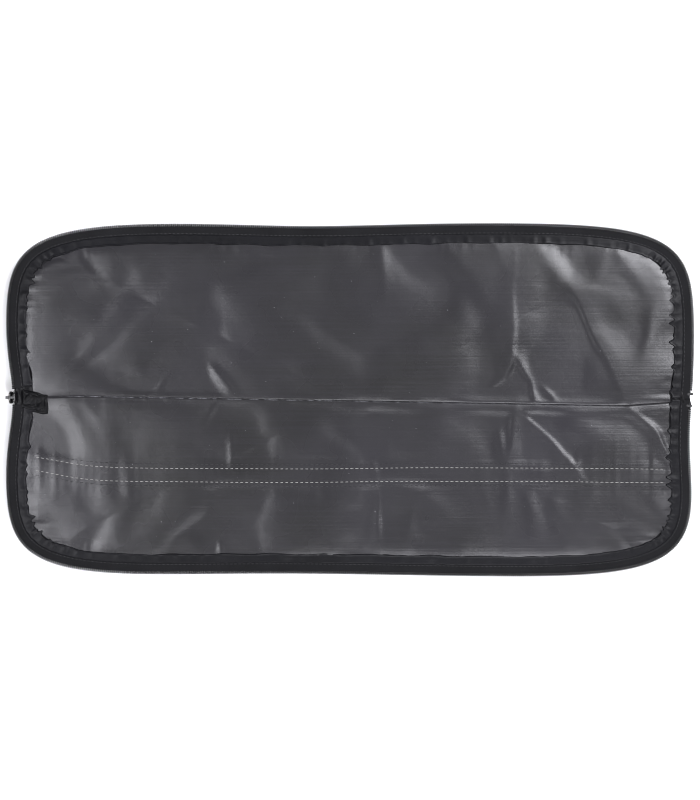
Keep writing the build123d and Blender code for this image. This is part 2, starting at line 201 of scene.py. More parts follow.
def tube(path, radius, sides=6, closed=False, squash=1.0):
    """Vertices and faces of a round tube along a path of points, with flat capped ends when it is open."""
    path = np.asarray(path, dtype=float)
    count = len(path)
    if closed:
        tangent = np.roll(path, -1, axis=0) - np.roll(path, 1, axis=0)
    else:
        tangent = np.gradient(path, axis=0)
    tangent /= np.linalg.norm(tangent, axis=1, keepdims=True) + 1e-12
    reference = np.array([0.0, 0.0, 1.0])
    if abs(tangent @ reference).max() > 0.95:
        reference = np.array([0.31, 0.95, 0.05])
    side = np.cross(tangent, reference)
    side /= np.linalg.norm(side, axis=1, keepdims=True) + 1e-12
    up = np.cross(side, tangent)
    turn = np.linspace(0, 2 * pi, sides, endpoint=False)
    radius = np.broadcast_to(np.asarray(radius, dtype=float), (count,))
    across = side[:, None, :] * np.cos(turn)[None, :, None]
    ring = across + up[:, None, :] * np.sin(turn)[None, :, None] * squash
    verts = (path[:, None, :] + ring * radius[:, None, None]).reshape(-1, 3)
    faces = ring_faces(count, sides, closed)
    if not closed:
        faces.append(tuple(range(sides))[::-1])
        faces.append(tuple((count - 1) * sides + k for k in range(sides)))
    return verts, faces


def ring_stack(rings):
    """A hollow solid from rings of points: each ring is joined to the next, and the last to the first."""
    return np.concatenate(rings), ring_faces(len(rings), len(rings[0]), closed=True)


def join_shapes(shapes):
    """Several (vertices, faces) as one."""
    verts, faces, base = [], [], 0
    for points, polygons in shapes:
        verts.append(np.asarray(points))
        faces += [tuple(base + i for i in polygon) for polygon in polygons]
        base += len(points)
    return np.concatenate(verts), faces


# ---- outline of the mouth --------------------------------------------------------------------
def pull(shape, along):
    depth, centre, spread = shape
    return depth * np.exp(-(((along - centre) / spread) ** 2))


def soften(x, y):
    """Pulls a point of the plain rounded oblong in where the soft edge has waists and dips."""
    waist = np.where(x > 0, pull(WAIST_RIGHT, y), pull(WAIST_LEFT, y))
    dip = np.where(y > 0, pull(DIP_REAR, x), pull(DIP_FRONT, x))
    return x * (1 - waist / (MOUTH_LENGTH / 2)), y * (1 - dip / (MOUTH_DEPTH / 2))


def oblong(angle, half_x, half_y):
    """Points of a rounded oblong at the given angles."""
    c, s = np.cos(angle), np.sin(angle)
    level = abs(c / half_x) ** CORNER_POWER + abs(s / half_y) ** CORNER_POWER
    reach = level ** (-1 / CORNER_POWER)
    return reach * c, reach * s


def oblong_grid(columns, rows, even_columns=1.0, even_rows=1.0):
    """A grid that fills half an oblong: shares of its length and depth, and the scale that rounds corners."""
    s = np.linspace(-1, 1, columns)
    s = np.sign(s) * (1 - (1 - np.abs(s)) ** even_columns)
    t = np.linspace(0, 1, rows)
    t = 1 - (1 - t) ** even_rows
    s, t = np.meshgrid(s, t)
    top = np.maximum(np.abs(s), t) + 1e-9
    small = np.minimum(np.abs(s), t) / top
    g = (1 + small**CORNER_POWER) ** (-1 / CORNER_POWER)
    return s, t, g


def full_trace():
    """Points right round the outline from the left end, over the rear, to the left end again."""
    angle = np.linspace(pi, -pi, 2 * TRACE_STEPS + 1)
    x, y = oblong(angle, MOUTH_LENGTH / 2, MOUTH_DEPTH / 2)
    return np.stack(soften(x, y), axis=1)


class Rim:
    """One lip's edge, measured by its length from the left end of the crease."""

    def __init__(self, side):
        trace = full_trace()
        half = trace[: TRACE_STEPS + 1] if side == REAR else trace[TRACE_STEPS:][::-1]
        run = np.gradient(half, axis=0)
        run /= np.linalg.norm(run, axis=1, keepdims=True)
        self.points = half
        self.inward = np.stack([run[:, 1] * side, -run[:, 0] * side], axis=1)
        steps = np.linalg.norm(np.diff(half, axis=0), axis=1)
        self.along = np.concatenate([[0.0], np.cumsum(steps)])
        self.length = self.along[-1]
        self.side = side

    def at(self, s, inset):
        """Plan positions at lengths s, moved inwards by inset."""
        x = np.interp(s, self.along, self.points[:, 0])
        y = np.interp(s, self.along, self.points[:, 1])
        nx = np.interp(s, self.along, self.inward[:, 0])
        ny = np.interp(s, self.along, self.inward[:, 1])
        return x + nx * inset, y + ny * inset

    def span(self, gap_left, gap_right):
        """Lengths at which the edge is this far from the crease at either end."""
        away = self.points[:, 1] * self.side
        first = np.argmax(away >= gap_left)
        last = len(away) - 1 - np.argmax(away[::-1] >= gap_right)
        return self.along[first], self.along[last]


RIMS = {side: Rim(side) for side in (REAR, FRONT)}


# ---- materials -------------------------------------------------------------------------------
class Graph:
    """A material's node tree, built one node at a time."""

    def __init__(self, name):
        self.material = bpy.data.materials.new(name)
        self.material.use_nodes = True
        self.tree = self.material.node_tree
        self.tree.nodes.clear()
        self.output = self.tree.nodes.new("ShaderNodeOutputMaterial")
        self.shader = self.tree.nodes.new("ShaderNodeBsdfPrincipled")
        self.tree.links.new(self.shader.outputs[0], self.output.inputs[0])
        self.place = self.tree.nodes.new("ShaderNodeTexCoord").outputs["Object"]

    def feed(self, socket, value):
        if isinstance(value, bpy.types.NodeSocket):
            self.tree.links.new(value, socket)
        else:
            socket.default_value = value

    def add(self, kind, inputs, output=0, **settings):
        node = self.tree.nodes.new(kind)
        for key, value in settings.items():
            setattr(node, key, value)
        for key, value in inputs.items():
            self.feed(node.inputs[key], value)
        return node.outputs[output]

    def math(self, operation, *values):
        return self.add("ShaderNodeMath", dict(enumerate(values)), operation=operation)

    def noise(self, scale, detail=3.0, rough=0.55, place=None, distortion=0.0):
        inputs = {"Vector": place or self.place, "Scale": scale, "Detail": detail}
        inputs.update({"Roughness": rough, "Distortion": distortion})
        return self.add("ShaderNodeTexNoise", inputs)

    def stretched(self, x, y, z, turn=0.0):
        inputs = {"Vector": self.place, "Scale": (x, y, z), "Rotation": (0, 0, turn)}
        return self.add("ShaderNodeMapping", inputs)

    def band(self, value, low, high, out_low=0.0, out_high=1.0):
        inputs = {"Value": value, "From Min": low, "From Max": high, "To Min": out_low, "To Max": out_high}
        return self.add("ShaderNodeMapRange", inputs)

    def mix(self, share, first, second):
        node = self.tree.nodes.new("ShaderNodeMix")
        node.data_type = "RGBA"
        self.feed(node.inputs[0], share)
        self.feed(node.inputs[6], first)
        self.feed(node.inputs[7], second)
        return node.outputs[2]

    def bump(self, height, distance, strength=1.0, normal=None):
        inputs = {"Height": height, "Distance": distance, "Strength": strength}
        if normal is not None:
            inputs["Normal"] = normal
        return self.add("ShaderNodeBump", inputs)

    def weave(self, across_mm, along_mm):
        """Plain weave as height: threads of the two directions pass over each other."""
        warp = self.stripes(across_mm, "X")
        weft = self.stripes(along_mm, "Y")
        return self.math("MAXIMUM", warp, self.math("MULTIPLY", weft, 0.9))

    def stripes(self, pitch_mm, direction, wobble=0.6):
        scale = 2 * pi / (20 * pitch_mm * MM)
        inputs = {"Vector": self.place, "Scale": scale, "Distortion": wobble}
        inputs.update({"Detail": 1.0, "Detail Scale": 2.0})
        return self.add(
            "ShaderNodeTexWave", inputs, output=1, wave_type="BANDS", bands_direction=direction
        )

    def finish(self, **inputs):
        for key, value in inputs.items():
            self.feed(self.shader.inputs[key.replace("_", " ")], value)
        return self.material


def colour(*display):
    """A colour from its 0 to 255 display values."""
    linear = (((v / 255 + 0.055) / 1.055) ** 2.4 if v > 10 else v / 255 / 12.92 for v in display)
    return (*linear, 1.0)


def coated_nylon(name, dark, light, gloss_low, gloss_high, shine, specks=True, crease=None):
    """Proofed nylon: fine cross ribs under a smooth coating, cloudy tints, lint and light scratches."""
    g = Graph(name)
    cloud = g.band(g.noise(9.0, 2.0), 0.25, 0.75)
    tone = g.mix(cloud, dark, light)
    ribs = g.stripes(0.42, "Y", 0.3)
    tone = g.mix(g.math("MULTIPLY", ribs, 0.16), tone, light)
    streak = g.noise(70.0, 3.0, place=g.stretched(0.12, 9.0, 1.0))
    tone = g.mix(g.band(streak, 0.40, 0.75, 0.0, 0.6), tone, light)
    if specks:
        lint = g.band(g.noise(520.0, 1.0), 0.795, 0.845)
        tone = g.mix(g.math("MULTIPLY", lint, 0.5), tone, colour(150, 150, 154))
    if crease:
        tone = g.mix(crease(g), tone, colour(150, 150, 156))
    fine = g.bump(ribs, 0.000035, 0.35)
    fine = g.bump(streak, 0.00013, 0.5, fine)
    crumple = g.bump(g.noise(110.0, 2.0, 0.5), 0.0003, 0.25, fine)
    gloss = g.band(g.noise(30.0, 1.0), 0.1, 0.9, gloss_low, gloss_high)
    return g.finish(Base_Color=tone, Roughness=gloss, Normal=crumple, Specular_IOR_Level=shine)


def woven(name, dark, light, pitch_mm, roughness=0.85, fuzz=0.25, direction_pitch=None, shine=0.3):
    """A matt woven cloth or tape."""
    g = Graph(name)
    threads = g.weave(pitch_mm, direction_pitch or pitch_mm)
    uneven = g.band(g.noise(35.0, 4.0), 0.3, 0.7)
    tone = g.mix(g.math("MULTIPLY", threads, g.band(uneven, 0.0, 1.0, 0.45, 0.9)), dark, light)
    relief = g.bump(threads, 0.00012, 0.7)
    relief = g.bump(g.noise(240.0, 3.0), 0.0003, 0.25, relief)
    material = g.finish(Base_Color=tone, Roughness=roughness, Normal=relief, Specular_IOR_Level=shine)
    g.shader.inputs["Sheen Weight"].default_value = fuzz
    g.shader.inputs["Sheen Roughness"].default_value = 0.5
    return material


def moulded(name, dark, light, roughness, coat=0.0):
    """Nylon or enamel with fine scuffs."""
    g = Graph(name)
    tone = g.mix(g.band(g.noise(500.0, 3.0), 0.4, 0.75), dark, light)
    gloss = g.band(g.noise(800.0, 2.0), 0.3, 0.7, roughness * 0.8, roughness * 1.25)
    relief = g.bump(g.noise(1800.0, 2.0), 0.00003, 0.5)
    material = g.finish(Base_Color=tone, Roughness=gloss, Normal=relief)
    g.shader.inputs["Coat Weight"].default_value = coat
    return material


def worn_enamel(name, wear):
    """Black enamel rubbed through to grey metal."""
    g = Graph(name)
    rubbed = g.band(g.noise(420.0, 4.0, 0.7), wear, wear + 0.06)
    tone = g.mix(rubbed, colour(16, 16, 17), colour(120, 119, 116))
    scuffs = g.bump(g.noise(1500.0, 3.0), 0.00005, 0.5)
    gloss = g.band(g.noise(900.0, 2.0), 0.3, 0.7, 0.22, 0.42)
    return g.finish(Base_Color=tone, Metallic=rubbed, Roughness=gloss, Normal=scuffs)


def plated_wire(name):
    g = Graph(name)
    tone = g.mix(g.band(g.noise(700.0, 3.0), 0.4, 0.7), colour(196, 193, 188), colour(140, 137, 132))
    brush = g.bump(g.noise(900.0, 2.0, place=g.stretched(0.2, 1.0, 4.0)), 0.00003, 0.6)
    gloss = g.band(g.noise(600.0, 2.0), 0.3, 0.7, 0.18, 0.34)
    return g.finish(Base_Color=tone, Metallic=1.0, Roughness=gloss, Normal=brush)


def twisted_thread(name, dark, light):
    g = Graph(name)
    ply = g.stripes(0.5, "DIAGONAL", 0.2)
    tone = g.mix(ply, dark, light)
    return g.finish(Base_Color=tone, Roughness=0.65, Normal=g.bump(ply, 0.00008, 0.8))


# where the fold between the lips lies: its height above y = 0 along the length, in millimetres
CREASE_POINTS = ((-262.0, 1.2), (-220.0, 3.0), (0.0, -0.9), (220.0, -5.0), (262.0, -2.0))


def crease_y(x):
    return np.interp(x, [p[0] for p in CREASE_POINTS], [p[1] for p in CREASE_POINTS])


def crease_wear(g):
    """Whitened coating along the fold, in pinched dashes that fade towards the right."""
    parts = g.tree.nodes.new("ShaderNodeSeparateXYZ")
    g.feed(parts.inputs[0], g.place)
    x, y = parts.outputs[0], parts.outputs[1]
    line = g.band(x, -0.220, 0.220, 0.0030, -0.0050)
    off = g.math("ABSOLUTE", g.math("SUBTRACT", y, line))
    ragged = g.noise(900.0, 2.0)
    near = g.band(g.math("ADD", off, g.math("MULTIPLY", ragged, 0.0008)), 0.0004, 0.0009, 1.0, 0.0)
    dashes = g.band(g.noise(150.0, 2.0, place=g.stretched(1.0, 0.05, 0.05)), 0.42, 0.60)
    fade = g.band(x, -0.225, 0.10, 0.50, 0.12)
    inside = g.math("MULTIPLY", g.band(x, -0.236, -0.214), g.band(x, 0.214, 0.226, 1.0, 0.0))
    return g.math("MULTIPLY", g.math("MULTIPLY", near, g.math("MULTIPLY", dashes, fade)), inside)


LINING = coated_nylon(
    "lining_cloth", colour(26, 26, 25), colour(37, 36, 40), 0.24, 0.32, 0.34, crease=crease_wear
)
SATIN = coated_nylon(
    "satin_binding", colour(12, 12, 13), colour(22, 22, 25), 0.30, 0.42, 0.09, specks=False
)
TAB = coated_nylon("tab_cloth", colour(5, 5, 6), colour(11, 11, 13), 0.28, 0.42, 0.09, specks=False)
OUTER = woven("outer_cloth_weave", colour(12, 12, 14), colour(34, 34, 37), 0.5, fuzz=0.08)
TAPE = woven(
    "zip_tape_weave", colour(9, 9, 10), colour(28, 28, 30), 0.55, fuzz=0.0, direction_pitch=0.8, shine=0.12
)
WEBBING = woven("webbing_weave", colour(34, 34, 38), colour(66, 66, 70), 1.1)
ELASTIC = woven("elastic_weave", colour(22, 22, 24), colour(54, 54, 56), 0.8)
COIL = moulded("coil_nylon", colour(5, 5, 6), colour(13, 13, 14), 0.42)
ENAMEL = worn_enamel("slider_enamel", 0.68)
STOP_METAL = worn_enamel("stop_enamel", 0.66)
NICKEL = plated_wire("nickel_wire")
THREAD_BLACK = twisted_thread("thread_black", colour(14, 14, 16), colour(42, 42, 45))
THREAD_WHITE = twisted_thread("thread_white", colour(96, 96, 95), colour(150, 149, 146))


# ---- stage: camera, light, floor -------------------------------------------------------------
LENS, SENSOR = 85.0, 36.0
SEEN_HEIGHT = 0.640  # metres of ground that the frame's long side covers
DISTANCE = SEEN_HEIGHT * LENS / SENSOR
LOOK_Z = 0.014
LAMP_TINT = (0.95, 0.95, 1.0)


def set_stage():
    camera = bpy.data.cameras.new("camera")
    camera.lens = LENS
    camera.sensor_width = SENSOR
    camera.clip_start = 0.01
    holder = bpy.data.objects.new("camera", camera)
    holder.location = (0.0, 0.0, DISTANCE + LOOK_Z)
    bpy.context.scene.collection.objects.link(holder)
    bpy.context.scene.camera = holder
    world = bpy.data.worlds.new("studio")
    world.use_nodes = True
    background = world.node_tree.nodes["Background"]
    background.inputs[0].default_value = (1.0, 1.0, 1.0, 1.0)
    background.inputs[1].default_value = 0.30
    bpy.context.scene.world = world
    lamps = (
        ("key", (0.74, 0.50, 1.50), 0.46, 21.0),
        ("left", (-0.80, -0.14, 1.50), 0.40, 14.0),
        ("front", (0.22, -1.05, 1.45), 0.8, 25.0),
        ("far", (0.90, 1.10, 1.50), 0.9, 27.0),
    )
    for name, place, size, power in lamps:
        light = bpy.data.lights.new(name, "AREA")
        light.size = size
        light.energy = power
        light.color = LAMP_TINT
        lamp = bpy.data.objects.new(name, light)
        lamp.location = place
        lamp.rotation_euler = (-Vector(place)).to_track_quat("-Z", "Y").to_euler()
        bpy.context.scene.collection.objects.link(lamp)
    bpy.ops.mesh.primitive_plane_add(size=8.0, location=(0, 0, 0))
    floor = bpy.context.object
    floor.name = "floor"
    g = Graph("floor_paper")
    tone = g.mix(g.band(g.noise(3.0, 2.0), 0.3, 0.7), (0.90, 0.90, 0.90, 1), (0.92, 0.92, 0.92, 1))
    floor.data.materials.append(g.finish(Base_Color=tone, Roughness=0.9))


set_stage()
bpy.context.scene.view_settings.view_transform = "Standard"
bpy.context.scene.cycles.filter_width = 1.0


# ---- relief of the lining --------------------------------------------------------------------
# Folds of the lining: x, y of both ends, height, spread on the left of the run, spread on its right.
FOLDS = (
    # fan of long folds out of the slider's end of the crease
    (-232, 8, -183, 42, 1.5, 3.0, 13.0),
    (-186, 40, -112, 126, 1.0, 5.0, 19.0),
    (-234, 12, -206, 46, 1.2, 3.5, 9.0),
    (-208, 44, -158, 110, 0.9, 5.0, 15.0),
    (-246, 20, -240, 82, 0.8, 4.0, 9.0),
    (-228, 62, -176, 118, 0.5, 8.0, 16.0),
    # small folds around the left of the crease
    (-136, 40, -156, 6, 1.1, 5.0, 3.0),
    (-126, 30, -140, 8, 0.5, 5.0, 4.0),
    (-110, 26, -92, 3, 1.2, 3.0, 5.0),
    (-108, -2, -118, -20, 1.1, 3.0, 5.0),
    (-118, -20, -142, -25, 1.0, 3.0, 5.0),
    (-212, -1, -194, -25, 1.0, 5.0, 4.0),
    (-194, -6, -193, -72, 1.3, 5.0, 5.0),
    (-180, -46, -178, -76, 1.0, 4.0, 4.0),
    (-228, 2, -205, -40, 0.9, 8.0, 6.0),
    (-210, -36, -186, -118, 0.6, 10.0, 14.0),
    (-96, -30, -94, -52, 0.8, 3.0, 3.0),
    (-256, -78, -210, -96, 0.5, 8.0, 12.0),
    # hard creases near the middle and right
    (131, 108, 130, 34, 1.2, 1.6, 9.0),
    (130, 34, 124, 19, 1.2, 1.6, 6.0),
    (124, 19, 113, 11, 1.0, 2.0, 5.0),
    (132, 36, 145, 14, 1.1, 6.0, 1.8),
    (145, 14, 149, -2, 1.0, 4.0, 1.8),
    (153, 12, 163, 0, 1.0, 4.0, 1.8),
    (180, 82, 222, -2, 1.3, 14.0, 2.2),
    (150, 120, 181, 82, 0.7, 9.0, 6.0),
    (76, 130, 116, 70, 0.8, 9.0, 6.0),
    (112, 130, 131, 100, 0.7, 6.0, 4.0),
    (26, 126, 27, 82, 0.6, 4.0, 5.0),
    (246, 78, 234, 34, 1.3, 5.0, 4.0),
    (214, 120, 240, 84, 0.8, 6.0, 5.0),
    (221, -2, 244, -25, 1.4, 2.0, 5.0),
    (244, -25, 258, -48, 1.4, 2.0, 6.0),
    (225, 0, 255, 3, 0.7, 1.6, 4.0),
    # folds of the front lip
    (133, -8, 127, -48, 1.2, 5.0, 3.0),
    (127, -46, 122, -126, 1.3, 4.0, 3.5),
    (119, -26, 124, -50, 1.0, 4.0, 4.0),
    (140, -12, 176, -48, 1.0, 2.0, 9.0),
    (176, -48, 190, -66, 0.9, 2.0, 7.0),
    (21, -54, 25, -124, 1.0, 1.6, 5.0),
    (96, -74, 110, -126, 1.2, 6.0, 4.0),
    (104, -68, 118, -112, 0.7, 4.0, 4.0),
    (142, -80, 152, -126, 1.0, 6.0, 4.0),
    (164, -84, 184, -124, 1.0, 6.0, 5.0),
    (196, -74, 180, -108, 0.8, 5.0, 6.0),
    (222, -84, 246, -106, 1.0, 6.0, 5.0),
    (238, -76, 252, -92, 0.9, 4.0, 4.0),
    (52, -80, 42, -124, 0.6, 8.0, 5.0),
    (-20, -78, -14, -122, 0.5, 8.0, 6.0),
    (-104, -112, -103, -128, 0.7, 3.0, 3.0),
    (60, -24, 96, -44, 0.5, 10.0, 8.0),
    (-60, 34, 40, 20, 0.5, 26.0, 20.0),
    (-70, 96, -20, 118, 0.5, 14.0, 14.0),
)
RELIEF_LIMIT = 1.95  # the most that the lining stands up
BAND_MIDDLE = -60.2
ROUGH = Waves(11, 150.0)
BROAD = Waves(18, 95.0)
MEDIUM = Waves(12, 46.0)
FINE = Waves(13, 17.0)
TINY = Waves(14, 7.0)
PUCKER = wave_1d(15, 9.0)
PUCKER_SIZE = wave_1d(16, 60.0)


def band_line(x):
    """Where the band's middle line runs along the length: it turns up at the slider's end."""
    upturn = 8.5 * np.exp(-(((x + 264.0) / 40.0) ** 2))
    return BAND_MIDDLE + upturn + 0.6 * np.sin(x / 61.0) + 0.8 * ramp(-x, 0, 200)


def edge_distance(x, y):
    """Roughly how far a point is inside the mouth's outline."""
    u, v = np.abs(x) / (MOUTH_LENGTH / 2), np.abs(y) / (MOUTH_DEPTH / 2)
    level = (u**CORNER_POWER + v**CORNER_POWER) ** (1 / CORNER_POWER) + 1e-9
    slope_x = (u / level) ** (CORNER_POWER - 1) / (MOUTH_LENGTH / 2)
    slope_y = (v / level) ** (CORNER_POWER - 1) / (MOUTH_DEPTH / 2)
    return (1 - level) / (np.hypot(slope_x, slope_y) + 1e-9)


def fold_height(x, y, fold):
    x0, y0, x1, y1, height, left, right = fold
    run = hypot(x1 - x0, y1 - y0)
    tx, ty = (x1 - x0) / run, (y1 - y0) / run
    along = (x - x0) * tx + (y - y0) * ty
    off = -(x - x0) * ty + (y - y0) * tx
    off = off + 0.9 * np.sin(along / 9.0 + x0)
    spread = np.where(off > 0, left, right)
    body = height * np.exp(-np.abs(off / spread) ** 1.6)
    fade = 0.22 * run + 3.0
    return body * ramp(along, -fade, fade) * ramp(run - along, -fade, fade)


def crumple(x, y):
    """Soft ridges with broad hollows between them, as slack coated cloth has."""
    bend = 12.0 * MEDIUM(x * 0.4, y * 0.4 + 300)
    broad = np.sqrt(np.tanh(0.9 * ROUGH(x + bend, y - bend)) ** 2 + 0.03)
    return 0.55 * np.maximum(1 - broad, 0) ** 1.3 + 0.42 * BROAD(x - bend, y + 0.6 * bend)


def lining_relief(x, y):
    """How far the lining stands above its seat."""
    rim = edge_distance(x, y)
    calm = bell((x + 40) / 1.6, 62.0) * ramp(y, -30, 20)
    lively = 1.0 - 0.62 * calm
    total = 0.50 + 0.25 * ROUGH(x + 400, y) + lively * (crumple(x, y) + 0.06 * MEDIUM(x + 31, y))
    total = total + lively * (0.012 * FINE(x, y + 17) + 0.004 * TINY(x, y))
    for fold in FOLDS:
        total = total + 1.12 * fold_height(x, y, fold)
    # gathers where the seam takes the cloth in
    along = np.where(np.abs(x) / MOUTH_LENGTH > np.abs(y) / MOUTH_DEPTH, y, x)
    gather = PUCKER(along) * (0.45 + 0.55 * PUCKER_SIZE(along))
    total = total + (0.07 + 0.08 * ramp(np.abs(x), 200, 250)) * gather * bell(rim - 17.0, 8.0)
    # gathers across the band, strongest at the right
    across = y - band_line(x)
    strength = 0.05 + 0.22 * ramp(x, 150, 230) + 0.06 * ramp(-x, 160, 220)
    total = total + strength * PUCKER(x * 0.9 + 40) * bell(across, 17.0)
    # the band holds the cloth flatter and lifts it, and the stitches draw it in
    total = total - 0.45 * (total - 0.6) * bell(across, 11.0)
    total = total + 0.38 * (ramp(across, -12, -8.5) - ramp(across, 8.5, 12))
    for row in (-8.8, -5.4, 5.4, 8.8):
        total = total - 0.20 * bell(across - row, 0.9)
    # both lips come to one level at the fold, with a ridge below it on the right and pinches along it
    off = y - crease_y(x)
    total = total + (0.9 - total) * 0.7 * bell(off, 4.0)
    right_half = ramp(x, -60, 80)
    total = total + 0.75 * right_half * bell(off + 4.5, 3.6) * ramp(-off, -0.5, 1.5)
    pinch = np.maximum(0, np.sin(x / 2.9 + 1.7 * np.sin(x / 31.0))) ** 6
    total = total + 0.35 * pinch * bell(off, 2.2) * ramp(-x, -160, 60)
    total = total * ramp(rim, 10.0, 25.0)
    total = 0.5 * (total + np.sqrt(total**2 + 0.04))
    return 0.06 + RELIEF_LIMIT * np.tanh(total / RELIEF_LIMIT)


# ---- settling of the lining ------------------------------------------------------------------
WORK_SCALE = 0.01  # the simulation runs ten times larger than life: 1 mm is 10 mm there
SLACK = 0.0015  # extra length of the lining over the cloth it is sewn to
SETTLE_FRAMES = 24
COARSE = 2  # every second row and column is simulated
SEAM_REACH = 15.5  # the cloth is held this far in from the teeth
STITCH_ROWS_MIDDLE, STITCH_ROWS_HALF = 7.1, 2.6  # where the band's rows of stitches hold it
SMOOTHING = 10  # passes that take out buckles smaller than the cloth's own stiffness allows


def simulate(points, held):
    """Runs slack cloth, held at some of its points, until it has buckled into folds."""
    rows, columns, _ = points.shape
    mesh = bpy.data.meshes.new("settling")
    mesh.from_pydata((points.reshape(-1, 3) * WORK_SCALE).tolist(), [], grid_faces(rows, columns))
    cloth = bpy.data.objects.new("settling", mesh)
    bpy.context.scene.collection.objects.link(cloth)
    group = cloth.vertex_groups.new(name="held")
    group.add(np.flatnonzero(held.ravel()).tolist(), 1.0, "REPLACE")
    modifier = cloth.modifiers.new("cloth", "CLOTH")
    settings = modifier.settings
    settings.quality = 5
    settings.mass = 0.15
    settings.tension_stiffness = 12.0
    settings.compression_stiffness = 12.0
    settings.shear_stiffness = 4.0
    settings.bending_stiffness = 4.0
    settings.tension_damping = 8.0
    settings.compression_damping = 8.0
    settings.shear_damping = 8.0
    settings.bending_damping = 0.6
    settings.shrink_min = -SLACK
    settings.vertex_group_mass = "held"
    settings.effector_weights.gravity = 0.0
    modifier.collision_settings.use_collision = False
    modifier.point_cache.frame_start = 1
    modifier.point_cache.frame_end = SETTLE_FRAMES
    for frame_number in range(1, SETTLE_FRAMES + 1):
        bpy.context.scene.frame_set(frame_number)
    settled = cloth.evaluated_get(bpy.context.evaluated_depsgraph_get()).data
    flat = np.empty(rows * columns * 3)
    settled.vertices.foreach_get("co", flat)
    bpy.data.objects.remove(cloth)
    bpy.data.meshes.remove(mesh)
    bpy.context.scene.frame_set(1)
    return flat.reshape(rows, columns, 3) / WORK_SCALE


def refine(coarse, rows, columns):
    """A grid of vectors on every second row and column, filled in between."""
    old_rows = np.linspace(0, rows - 1, coarse.shape[0])
    old_columns = np.linspace(0, columns - 1, coarse.shape[1])
    new_rows, new_columns = np.arange(rows), np.arange(columns)
    wide = np.stack(
        [[np.interp(new_columns, old_columns, row[:, k]) for row in coarse] for k in range(3)], axis=2
    )
    return np.stack(
        [
            np.array([np.interp(new_rows, old_rows, wide[:, c, k]) for c in range(columns)]).T
            for k in range(3)
        ],
        axis=2,
    )


def settle(x, y, z):
    """The lining's points after the simulation, kept above the shell and under the fold's height."""
    points = np.stack([x, y, z], axis=2)
    rows, columns, _ = points.shape
    pick_rows = np.unique(np.linspace(0, rows - 1, rows // COARSE).round().astype(int))
    pick_columns = np.unique(np.linspace(0, columns - 1, columns // COARSE).round().astype(int))
    start = points[np.ix_(pick_rows, pick_columns)]
    rim = edge_distance(start[..., 0], start[..., 1])
    off_crease = np.abs(start[..., 1] - crease_y(start[..., 0]))
    across = start[..., 1] - band_line(start[..., 0])
    stitched = np.abs(np.abs(across) - STITCH_ROWS_MIDDLE) < STITCH_ROWS_HALF
    held = (rim < SEAM_REACH) | (off_crease < 1.5) | stitched
    moved = simulate(start, held) - start
    for _ in range(SMOOTHING):
        sides = moved[:-2, 1:-1] + moved[2:, 1:-1] + moved[1:-1, :-2] + moved[1:-1, 2:]
        moved[1:-1, 1:-1] = 0.5 * moved[1:-1, 1:-1] + 0.125 * sides
    shift = refine(moved, rows, columns)
    calm = ramp(np.abs(y - crease_y(x)), 0.5, 5.0)
    points[..., :2] += shift[..., :2] * calm[..., None]
    height = points[..., 2] - LINING_TOP + shift[..., 2] * calm
    height = 0.5 * (height + np.sqrt(height**2 + 0.05))
    points[..., 2] = LINING_TOP + 0.04 + RELIEF_LIMIT * np.tanh(height / RELIEF_LIMIT)
    return points[..., 0], points[..., 1], points[..., 2]


# ---- lips ------------------------------------------------------------------------------------
CLOSER_COLUMNS, CLOSER_ROWS = 1.15, 1.1  # above 1, a grid's points lie closer together at its edge


def lip_grid(side, inset, columns, rows, edge_wave=None):
    """Plan positions of a sheet that fills one lip, as (rows, columns) arrays; row 0 is at the crease."""
    s, t, g = oblong_grid(columns, rows, CLOSER_COLUMNS, CLOSER_ROWS)
    trim = inset if edge_wave is None else inset + edge_wave(np.arctan2(t, s) * 90.0)
    x = g * s * (MOUTH_LENGTH / 2 - trim)
    y = side * g * t * (MOUTH_DEPTH / 2 - trim)
    x, y = soften(x, y)
    return x, y + crease_y(x) * (1 - t) ** 2


def finish_mesh(piece):
    """Makes a closed mesh's faces point outwards."""
    work = bmesh.new()
    work.from_mesh(piece.data)
    bmesh.ops.recalc_face_normals(work, faces=work.faces)
    work.to_mesh(piece.data)
    work.free()
    return piece


def closed_piece(name, shape, body, material):
    return finish_mesh(make_object(name, *shape, body, material))


LINING_INSET, SHELL_INSET = 13.2, 4.6
# how thick each kind of sheet is
LINING_SHEET, SHELL_SHEET, BINDING_SHEET = 0.22, 0.28, 0.20
TAPE_SHEET, TAB_SHEET, GUSSET_SHEET = 0.42, 0.42, 0.30
TUCK_ROWS, TUCK_DEPTH = 4, 1.6  # the lining's edge at the crease turns down this far
SIDE_EDGE = wave_1d(21, 26.0)


def lining_inset(angle):
    """The lining's edge lies well inside the tape at the two ends and under it along the sides."""
    at_ends = bell(np.minimum(angle, 90.0 * pi - angle), 44.0)
    return 4.0 * at_ends + 0.8 * SIDE_EDGE(angle) * (0.3 + 0.7 * at_ends)


def build_linings():
    for side, lip, body in LIPS:
        x, y = lip_grid(side, LINING_INSET, 372, 96, lining_inset)
        x, y, z = settle(x, y, LINING_TOP + lining_relief(x, y))
        tuck_drop = TUCK_DEPTH * np.linspace(1, 0, TUCK_ROWS, endpoint=False)[:, None] + 0.06
        off = np.abs(y - crease_y(x))
        if side == REAR:
            z = z - (0.28 + 0.25 * ramp(x, -60, 80)) * bell(off, 1.1)
        else:
            y[0] += 0.35
            z = z + 0.06 * bell(off, 1.0)
        x = np.concatenate([np.repeat(x[:1], TUCK_ROWS, axis=0), x])
        y = np.concatenate([np.repeat(y[:1], TUCK_ROWS, axis=0) - side * 0.10, y])
        z = np.concatenate([z[:1] - tuck_drop, z])
        piece = closed_piece(f"{lip}_lining_cloth", slab(x, y, z, LINING_SHEET), body, LINING)
        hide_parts(f"{lip}_lining")


